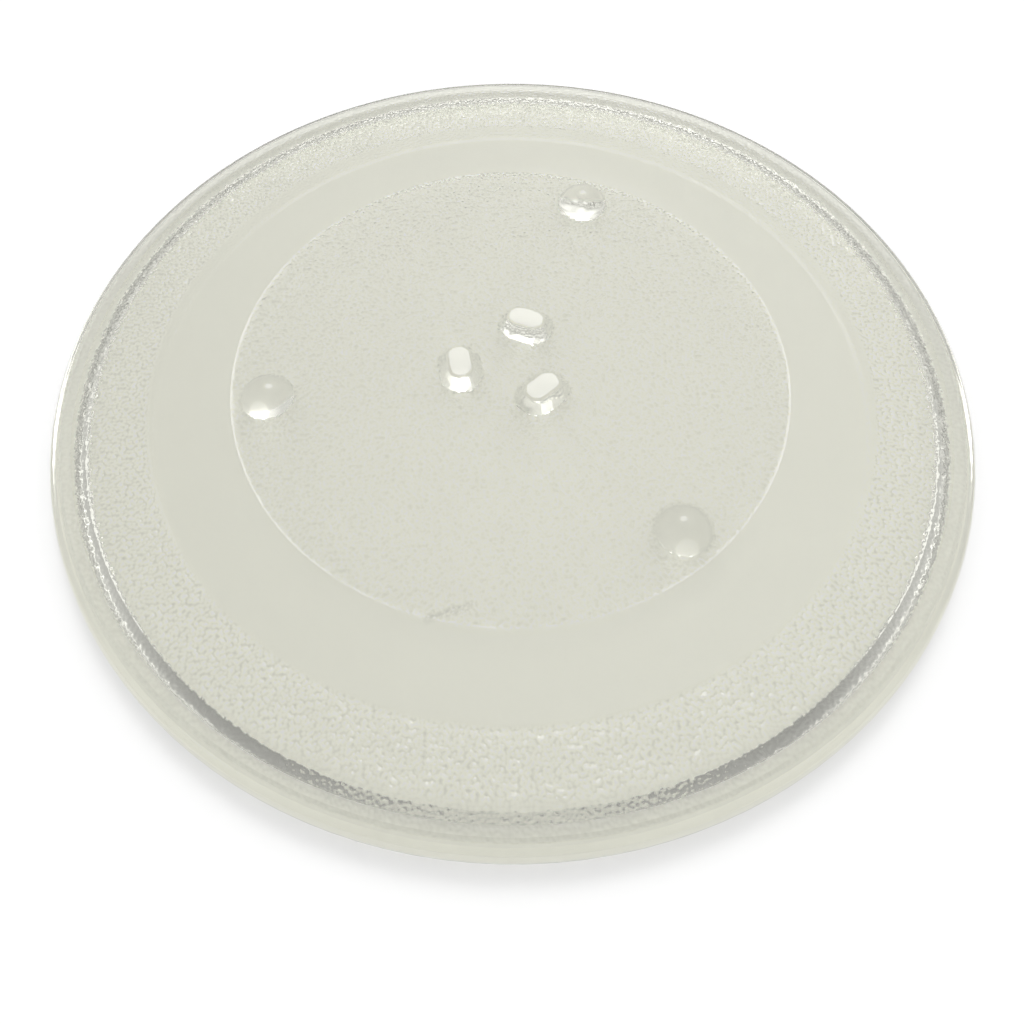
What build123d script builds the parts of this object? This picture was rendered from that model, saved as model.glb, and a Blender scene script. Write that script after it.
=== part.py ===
"""A microwave oven's glass turntable plate, pressed in one piece, lying upside down on its rim.

Z = 0 is the edge of the rim that the plate lies on. The underside faces up: it carries the smooth
track for the rollers, three drive lugs round the middle and three feet further out.
"""
import os
from math import radians, tan

from build123d import *

# Whole plate
PLATE_DIAMETER = 285.0
RIM_HEIGHT = 10.5          # from the edge of the rim to the underside
GLASS_THICKNESS = 5.5

# Roller track, a low flat ring between two gentle slopes
TRACK_INNER_DIAMETER = 174.0
TRACK_OUTER_DIAMETER = 223.0
TRACK_RISE = 0.4
TRACK_SLOPE_WIDTH = 1.6

# Rim, from the end of the flat underside round the smooth nose to the wall of the recess
RIM_DROP = 1.1             # how far the nose starts below the underside
RIM_SLOPE_WIDTH = 2.1
NOSE_DEPTH = 3.2
RIM_WIDTH = 6.7            # from the outermost edge to the mouth of the recess
MOUTH_ROUND = 1.2
RECESS_SLOPE = 44.0        # degrees between the recess wall and the flat
RECESS_ROUND = 2.0

# Drive lugs, which the coupler turns the plate by
LUG_COUNT = 3
LUG_FIRST_ANGLE = 70.2     # degrees from +X to the first lug and the first foot
LUG_INNER_RADIUS = 8.8
LUG_OUTER_RADIUS = 22.4
LUG_WIDTH = 18.0
LUG_TIP_WIDTH = 8.5
LUG_FLANK_ANGLE = 55.0     # degrees between a flank and the lug's middle line
LUG_HEIGHT = 4.6
LUG_DRAFT = 34.0
LUG_BASE_ROUNDS = (2.5, 4.0, 6.0)   # at the tip, at the end of the flanks and at the outer corners
LUG_TOP_ROUNDS = (1.0, 2.0, 3.5)
LUG_EDGE_ROUND = 1.2

# Feet, which keep the plate level on a worktop
FOOT_DIAMETER = 17.0
FOOT_HEIGHT = 5.8
FOOT_CLEARANCE = 1.1       # from a foot to the foot of the track's slope

# Where feet and lugs run into the underside
ROOT_ROUND = 0.8

UNDERSIDE = Plane.XY.offset(RIM_HEIGHT)
NOSE_FULLNESS = 3 / 4      # how far a symmetric Bezier curve reaches towards its two middle points


def rounded(profile, corners):
    """Rounds the named corners of a flat profile, each given as its point and its radius."""
    for point, radius in corners:
        profile = fillet(profile.vertices().sort_by_distance(point)[0], radius)
    return profile


def plate_section():
    """Half section of the plate in the XZ plane, from the axis to the rim."""
    edge = PLATE_DIAMETER / 2
    food_face = RIM_HEIGHT - GLASS_THICKNESS
    nose_top = RIM_HEIGHT - RIM_DROP
    nose_root = edge - NOSE_DEPTH
    nose_reach = nose_root + NOSE_DEPTH / NOSE_FULLNESS
    track_top = RIM_HEIGHT + TRACK_RISE
    track_inner = TRACK_INNER_DIAMETER / 2
    track_outer = TRACK_OUTER_DIAMETER / 2
    mouth = (edge - RIM_WIDTH, 0, 0)
    recess_edge = (edge - RIM_WIDTH - food_face / tan(radians(RECESS_SLOPE)), 0, food_face)
    nose = Bezier(
        (nose_root, 0, nose_top),
        (nose_reach, 0, nose_top),
        (nose_reach, 0, 0),
        (nose_root, 0, 0),
    )
    food_side = Polyline((0, 0, food_face), recess_edge, mouth, nose @ 1)
    underside = Polyline(
        nose @ 0,
        (nose_root - RIM_SLOPE_WIDTH, 0, RIM_HEIGHT),
        (track_outer + TRACK_SLOPE_WIDTH, 0, RIM_HEIGHT),
        (track_outer, 0, track_top),
        (track_inner, 0, track_top),
        (track_inner - TRACK_SLOPE_WIDTH, 0, RIM_HEIGHT),
        (0, 0, RIM_HEIGHT),
        (0, 0, food_face),
    )
    section = make_face([food_side, nose, underside])
    return rounded(section, [(recess_edge, RECESS_ROUND), (mouth, MOUTH_ROUND)])


def lug_outline(inset, rounds):
    """Blunt wedge that points at the plate's middle, drawn in by an inset on all sides."""
    half = LUG_WIDTH / 2 - inset
    half_tip = LUG_TIP_WIDTH / 2 - inset * tan(radians(90 - LUG_FLANK_ANGLE) / 2)
    tip = LUG_INNER_RADIUS + inset
    flank_end = tip + (half - half_tip) / tan(radians(LUG_FLANK_ANGLE))
    right_side = [(tip, -half_tip), (flank_end, -half), (LUG_OUTER_RADIUS - inset, -half)]
    left_side = [(x, -y) for x, y in reversed(right_side)]
    corners = zip(right_side + left_side, rounds + rounds[::-1])
    return rounded(make_face(Polyline(*right_side, *left_side, close=True)), corners)


def lug():
    """One drive lug on the +X side: sloping sides under a flat top with a rounded edge."""
    base = lug_outline(0, LUG_BASE_ROUNDS)
    top = Pos(0, 0, LUG_HEIGHT) * lug_outline(LUG_HEIGHT * tan(radians(LUG_DRAFT)), LUG_TOP_ROUNDS)
    body = loft([base.face(), top.face()], ruled=True)
    return fillet(body.faces().sort_by(Axis.Z)[-1].edges(), LUG_EDGE_ROUND)


def foot():
    """One foot about the Z axis: a round dome."""
    base = FOOT_DIAMETER / 2
    dome_radius = (base**2 + FOOT_HEIGHT**2) / (2 * FOOT_HEIGHT)
    above = Box(FOOT_DIAMETER, FOOT_DIAMETER, FOOT_HEIGHT, align=(Align.CENTER, Align.CENTER, Align.MIN))
    return Pos(0, 0, FOOT_HEIGHT - dome_radius) * Sphere(dome_radius) & above


def joined(plate, feature):
    """Adds a lug or a foot to the underside, with a small round where it runs into the glass."""
    plate += feature
    centre_disc = plate.faces().sort_by_distance((0, 0, RIM_HEIGHT))[0]
    root = centre_disc.inner_wires().sort_by_distance(feature.center())[0]
    return fillet(root.edges(), ROOT_ROUND)


def turntable_plate():
    """The whole plate as one solid."""
    plate = revolve(plate_section(), Axis.Z)
    foot_circle = TRACK_INNER_DIAMETER / 2 - TRACK_SLOPE_WIDTH - FOOT_CLEARANCE - FOOT_DIAMETER / 2
    for k in range(LUG_COUNT):
        turned = Rot(0, 0, LUG_FIRST_ANGLE + 360 / LUG_COUNT * k) * UNDERSIDE
        plate = joined(plate, turned * lug())
        plate = joined(plate, turned * Pos(foot_circle, 0, 0) * foot())
    return plate


os.makedirs("parts", exist_ok=True)
export_step(turntable_plate(), "parts/turntable_plate.step")
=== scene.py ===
"""The glass turntable plate of a microwave oven, lying underside up on a white table."""
import math

import bpy
from mathutils import Matrix, Vector

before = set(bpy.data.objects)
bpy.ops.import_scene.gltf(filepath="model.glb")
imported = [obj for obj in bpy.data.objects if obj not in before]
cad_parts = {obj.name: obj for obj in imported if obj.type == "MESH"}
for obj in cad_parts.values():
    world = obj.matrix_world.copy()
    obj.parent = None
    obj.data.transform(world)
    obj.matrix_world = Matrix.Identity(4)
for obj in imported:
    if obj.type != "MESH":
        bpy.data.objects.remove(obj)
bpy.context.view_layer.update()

MM = 0.001

# Height and radii of the plate, as in its CAD source
UNDERSIDE_HEIGHT = 10.5 * MM
TRACK_INNER_RADIUS = 87.0 * MM
TRACK_OUTER_RADIUS = 111.5 * MM
NOSE_ROOT_RADIUS = 139.3 * MM

# Where the glass changes near the rim
BAND_START_RADIUS = 128.0 * MM     # the pebbles grow shallower from here
BAND_RADIUS = 130.5 * MM           # to here, above the wall of the recess
MOUTH_RADIUS = 135.0 * MM          # just inside the mouth of the recess

# Glass
GLASS_TINT = (0.902, 0.902, 0.824)
GLASS_IOR = 1.5
MOUTH_ROUGHNESS = 0.35             # fine stipple round the mouth of the recess
GUIDED_BOUNCES = 16

# Pebbled texture of the underside, as bumps and as light and shade painted into the glass's colour
PEBBLE_SIZE = 1.1 * MM
PEBBLE_DEPTH = 0.3 * MM
PEBBLE_FADE = 1.5 * MM
PEBBLE_PAINTED_SHADE = 0.5                 # painted light and shade: how much lighter and darker the pebbles are painted
INNER_PEBBLE_PAINTED_SHADE = 0.14          # the same painted light and shade, inside the track
INNER_PEBBLE_SHARE = 1.7           # depth inside the track, as a share of the depth outside it
BAND_PEBBLE_SHARE = 0.45           # depth above the wall of the recess, as such a share
PEBBLES_START = UNDERSIDE_HEIGHT - 3.0 * MM
PEBBLES_FULL_FROM = UNDERSIDE_HEIGHT - 2.0 * MM
PEBBLES_FULL_TO = UNDERSIDE_HEIGHT + 0.2 * MM
PEBBLES_END = UNDERSIDE_HEIGHT + 0.6 * MM

# Shear mark, a crease that the cut of the hot glass left; its shade is painted into the glass's colour as a
# darker line
MARK_START = Vector((-23.3, -84.4, 0.0)) * MM
MARK_END = Vector((-8.5, -79.2, 0.0)) * MM
MARK_WIDTH = 1.6 * MM
# painted shade along the crease, taken off the glass's colour
MARK_PAINTED_SHADE = 0.1

# Camera, measured from the middle of the underside
CAMERA_DISTANCE = 257.6 * MM
CAMERA_ELEVATION = math.radians(52.77)
CAMERA_PITCH = math.radians(60.72)
CAMERA_YAW = math.radians(-1.68)
CAMERA_ROLL = math.radians(1.16)
CAMERA_LENS = 28.46
CAMERA_SENSOR = 36.0
CAMERA_NEAREST = 10.0 * MM
CAMERA_SHIFT_X = 0.0144
CAMERA_SHIFT_Y = -0.0351

# Table
TABLE_SIZE = 60.0
TABLE_GAP = 0.15 * MM
TABLE_COLOUR = (0.9, 0.9, 0.9, 1.0)
TABLE_GLOW = 0.28                  # lifts the table to white in the picture

# Light: places in degrees of azimuth and elevation, the reach in degrees, and the strength
WINDOW = (86, 54, 15, 4.6)
BRIGHT_WALL = (76, 54, 36, 0.6)
ROOM_LOW = 0.55                    # at the horizon
ROOM_HIGH = 0.75                   # overhead
ROOM_HIGH_FROM = 0.5               # upward share of a direction that counts as overhead
VIEWER_SIDE = 0.6                  # dims the room on the side of the viewer
VIEWER_SIDE_FROM = -0.6            # share of a direction along +Y from which it is dimmed in full
THROUGH_GLASS_LIMIT = 2.7          # the most that shows straight through the glass
WHITE = (1.0, 1.0, 1.0, 1.0)


def new_material(name):
    """A material with its own empty node tree and an output node."""
    material = bpy.data.materials.new(name)
    material.use_nodes = True
    material.node_tree.nodes.clear()
    output = material.node_tree.nodes.new("ShaderNodeOutputMaterial")
    return material, material.node_tree, output


def connect(tree, node, inputs):
    """Links or sets a node's inputs in order."""
    for socket, source in zip(node.inputs, inputs):
        if isinstance(source, bpy.types.NodeSocket):
            tree.links.new(source, socket)
        else:
            socket.default_value = source


def value_node(tree, operation, *inputs):
    """A math node whose inputs are sockets or numbers; returns its result."""
    node = tree.nodes.new("ShaderNodeMath")
    node.operation = operation
    connect(tree, node, inputs)
    return node.outputs[0]


def vector_node(tree, operation, *inputs):
    """A vector math node; returns its number for lengths and dot products, else its vector."""
    node = tree.nodes.new("ShaderNodeVectorMath")
    node.operation = operation
    connect(tree, node, inputs)
    return node.outputs["Value" if operation in ("LENGTH", "DOT_PRODUCT") else "Vector"]


def ramp(tree, value, low, high, from_value=0.0, to_value=1.0):
    """Eases smoothly from one value to another as the input runs from low to high."""
    node = tree.nodes.new("ShaderNodeMapRange")
    node.interpolation_type = "SMOOTHSTEP"
    connect(tree, node, (value, low, high, from_value, to_value))
    return node.outputs["Result"]


def pebbles(tree, place, radius):
    """Relief of the pebbled glass about its mean level; the track, lugs, feet and nose are smooth."""
    axes = tree.nodes.new("ShaderNodeSeparateXYZ")
    connect(tree, axes, (place,))
    height = axes.outputs["Z"]
    outer = ramp(tree, radius, TRACK_OUTER_RADIUS, TRACK_OUTER_RADIUS + PEBBLE_FADE)
    band = ramp(tree, radius, BAND_START_RADIUS, BAND_RADIUS, 1.0, BAND_PEBBLE_SHARE)
    nose = ramp(tree, radius, NOSE_ROOT_RADIUS - PEBBLE_FADE, NOSE_ROOT_RADIUS, 1.0, 0.0)
    outer = value_node(tree, "MULTIPLY", outer, value_node(tree, "MULTIPLY", band, nose))
    inner = ramp(tree, radius, TRACK_INNER_RADIUS - PEBBLE_FADE, TRACK_INNER_RADIUS, INNER_PEBBLE_SHARE, 0.0)
    above_food_side = ramp(tree, height, PEBBLES_START, PEBBLES_FULL_FROM)
    below_lugs = ramp(tree, height, PEBBLES_FULL_TO, PEBBLES_END, 1.0, 0.0)
    share = value_node(tree, "ADD", outer, inner)
    share = value_node(tree, "MULTIPLY", share, above_food_side)
    share = value_node(tree, "MULTIPLY", share, below_lugs)

    noise = tree.nodes.new("ShaderNodeTexNoise")
    noise.noise_dimensions = "2D"
    tree.links.new(place, noise.inputs["Vector"])
    noise.inputs["Scale"].default_value = 1.0 / PEBBLE_SIZE
    noise.inputs["Detail"].default_value = 0.0
    about_mean = value_node(tree, "SUBTRACT", noise.outputs["Fac"], 0.5)
    return value_node(tree, "MULTIPLY", about_mean, share)


def shear_mark(tree, place):
    """Where the painted shade of the mark on the inner edge of the track lies, from 0 beside it to 1 along
    its middle line.
    """
    line = MARK_END - MARK_START
    along_line = line.normalized()
    across_line = Vector((-along_line.y, along_line.x, 0.0))
    from_start = vector_node(tree, "SUBTRACT", place, tuple(MARK_START))
    along = vector_node(tree, "DOT_PRODUCT", from_start, tuple(along_line))
    across = value_node(tree, "ABSOLUTE", vector_node(tree, "DOT_PRODUCT", from_start, tuple(across_line)))
    mark = ramp(tree, across, 0.0, MARK_WIDTH, 1.0, 0.0)
    start = ramp(tree, along, 0.0, MARK_WIDTH)
    end = ramp(tree, along, line.length - MARK_WIDTH, line.length, 1.0, 0.0)
    return value_node(tree, "MULTIPLY", value_node(tree, "MULTIPLY", mark, start), end)


def mouth_stipple(tree, radius):
    """Roughness of the glass, which is smooth but for a ring round the mouth of the recess."""
    start = ramp(tree, radius, MOUTH_RADIUS - PEBBLE_FADE, MOUTH_RADIUS, 0.0, MOUTH_ROUGHNESS)
    end = ramp(tree, radius, NOSE_ROOT_RADIUS - PEBBLE_FADE, NOSE_ROOT_RADIUS, 1.0, 0.0)
    return value_node(tree, "MULTIPLY", start, end)


def glass_material():
    """Clear, slightly green-grey pressed glass, with the light and shade of its pebbles and shear mark
    painted into its colour.
    """
    material, tree, output = new_material("glass")
    place = tree.nodes.new("ShaderNodeTexCoord").outputs["Object"]
    radius = vector_node(tree, "LENGTH", vector_node(tree, "MULTIPLY", place, (1.0, 1.0, 0.0)))
    relief = pebbles(tree, place, radius)
    bump = tree.nodes.new("ShaderNodeBump")
    bump.inputs["Strength"].default_value = 1.0
    bump.inputs["Distance"].default_value = PEBBLE_DEPTH
    tree.links.new(relief, bump.inputs["Height"])
    # Painted light and shade: the pebbles make the glass's colour lighter and darker, and the shear mark
    # darker
    strength = ramp(tree, radius, TRACK_INNER_RADIUS, TRACK_OUTER_RADIUS, INNER_PEBBLE_PAINTED_SHADE, PEBBLE_PAINTED_SHADE)
    painted_shade = value_node(tree, "MULTIPLY_ADD", relief, strength, 1.0)
    mark = value_node(tree, "MULTIPLY", shear_mark(tree, place), MARK_PAINTED_SHADE)
    painted_shade = value_node(tree, "SUBTRACT", painted_shade, mark)

    glass = tree.nodes.new("ShaderNodeBsdfPrincipled")
    tree.links.new(vector_node(tree, "MULTIPLY", GLASS_TINT, painted_shade), glass.inputs["Base Color"])
    tree.links.new(mouth_stipple(tree, radius), glass.inputs["Roughness"])
    glass.inputs["IOR"].default_value = GLASS_IOR
    glass.inputs["Transmission Weight"].default_value = 1.0
    tree.links.new(bump.outputs["Normal"], glass.inputs["Normal"])
    tree.links.new(glass.outputs["BSDF"], output.inputs["Surface"])
    return material


def allow_guided_light():
    """Lets light run on inside the plate, where it is reflected to and fro between the two faces."""
    cycles = bpy.context.scene.cycles
    cycles.max_bounces = GUIDED_BOUNCES
    cycles.glossy_bounces = GUIDED_BOUNCES
    cycles.transmission_bounces = GUIDED_BOUNCES


def table_material():
    """A white table that still takes the plate's shadow."""
    material, tree, output = new_material("white table")
    matte = tree.nodes.new("ShaderNodeBsdfDiffuse")
    matte.inputs["Color"].default_value = TABLE_COLOUR
    path = tree.nodes.new("ShaderNodeLightPath")
    seen = value_node(tree, "MAXIMUM", path.outputs["Is Camera Ray"], path.outputs["Is Glossy Ray"])
    seen = value_node(tree, "MAXIMUM", seen, path.outputs["Is Transmission Ray"])
    glow = tree.nodes.new("ShaderNodeEmission")
    connect(tree, glow, (WHITE, value_node(tree, "MULTIPLY", seen, TABLE_GLOW)))
    both = tree.nodes.new("ShaderNodeAddShader")
    connect(tree, both, (matte.outputs["BSDF"], glow.outputs["Emission"]))
    tree.links.new(both.outputs["Shader"], output.inputs["Surface"])
    return material


def add_table():
    """Lays a white table just under the plate, wide enough to reach the horizon."""
    bpy.ops.mesh.primitive_plane_add(size=TABLE_SIZE, location=(0.0, 0.0, -TABLE_GAP))
    table = bpy.context.object
    table.name = "table"
    table.data.materials.append(table_material())


def add_camera():
    """Stands the camera where the photograph was taken from."""
    camera = bpy.data.cameras.new("camera")
    camera.lens = CAMERA_LENS
    camera.sensor_width = CAMERA_SENSOR
    camera.shift_x = CAMERA_SHIFT_X
    camera.shift_y = CAMERA_SHIFT_Y
    camera.clip_start = CAMERA_NEAREST
    forward = Vector((
        math.sin(CAMERA_YAW) * math.cos(CAMERA_PITCH),
        math.cos(CAMERA_YAW) * math.cos(CAMERA_PITCH),
        -math.sin(CAMERA_PITCH),
    ))
    level_right = Vector((math.cos(CAMERA_YAW), -math.sin(CAMERA_YAW), 0.0))
    level_down = forward.cross(level_right)
    right = math.cos(CAMERA_ROLL) * level_right + math.sin(CAMERA_ROLL) * level_down
    back = -forward
    up = back.cross(right)
    turn = Matrix((right, up, back)).transposed().to_4x4()
    place = Vector((
        0.0,
        -CAMERA_DISTANCE * math.cos(CAMERA_ELEVATION),
        CAMERA_DISTANCE * math.sin(CAMERA_ELEVATION) + UNDERSIDE_HEIGHT,
    ))
    viewer = bpy.data.objects.new("camera", camera)
    bpy.context.scene.collection.objects.link(viewer)
    viewer.matrix_world = Matrix.Translation(place) @ turn
    bpy.context.scene.camera = viewer


def direction(azimuth, elevation):
    """Unit vector towards a place in the room, from angles in degrees."""
    turn, rise = math.radians(azimuth), math.radians(elevation)
    return Vector((math.cos(turn) * math.cos(rise), math.sin(turn) * math.cos(rise), math.sin(rise)))


def room_light(tree):
    """A bright room with a soft window on the far side, and dimmer on the side of the viewer."""
    toward = tree.nodes.new("ShaderNodeTexCoord").outputs["Generated"]
    axes = tree.nodes.new("ShaderNodeSeparateXYZ")
    connect(tree, axes, (toward,))
    light = ramp(tree, axes.outputs["Z"], 0.0, ROOM_HIGH_FROM, ROOM_LOW, ROOM_HIGH)
    far_side = ramp(tree, axes.outputs["Y"], VIEWER_SIDE_FROM, 0.0, VIEWER_SIDE, 1.0)
    light = value_node(tree, "MULTIPLY", light, far_side)
    for azimuth, elevation, reach, strength in (WINDOW, BRIGHT_WALL):
        nearness = vector_node(tree, "DOT_PRODUCT", toward, tuple(direction(azimuth, elevation)))
        glow = ramp(tree, nearness, math.cos(math.radians(reach)), 1.0, 0.0, strength)
        light = value_node(tree, "ADD", light, glow)
    return light


def held_down_through_glass(tree, light):
    """Holds down what is seen straight through the glass, so that the rim shows no hard white lines."""
    path = tree.nodes.new("ShaderNodeLightPath")
    direct = value_node(tree, "LESS_THAN", path.outputs["Diffuse Depth"], 0.5)
    through_glass = value_node(tree, "MULTIPLY", direct, path.outputs["Is Transmission Ray"])
    limited = value_node(tree, "MINIMUM", light, THROUGH_GLASS_LIMIT)
    excess = value_node(tree, "SUBTRACT", light, limited)
    return value_node(tree, "SUBTRACT", light, value_node(tree, "MULTIPLY", excess, through_glass))


def set_world():
    """Lights the plate with the room."""
    world = bpy.data.worlds.new("room")
    world.use_nodes = True
    tree = world.node_tree
    light = held_down_through_glass(tree, room_light(tree))
    connect(tree, tree.nodes["Background"], (WHITE, light))
    bpy.context.scene.world = world


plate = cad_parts["turntable_plate"]
plate.data.materials.clear()
plate.data.materials.append(glass_material())
add_table()
add_camera()
set_world()
allow_guided_light()
bpy.context.scene.view_settings.view_transform = "Standard"
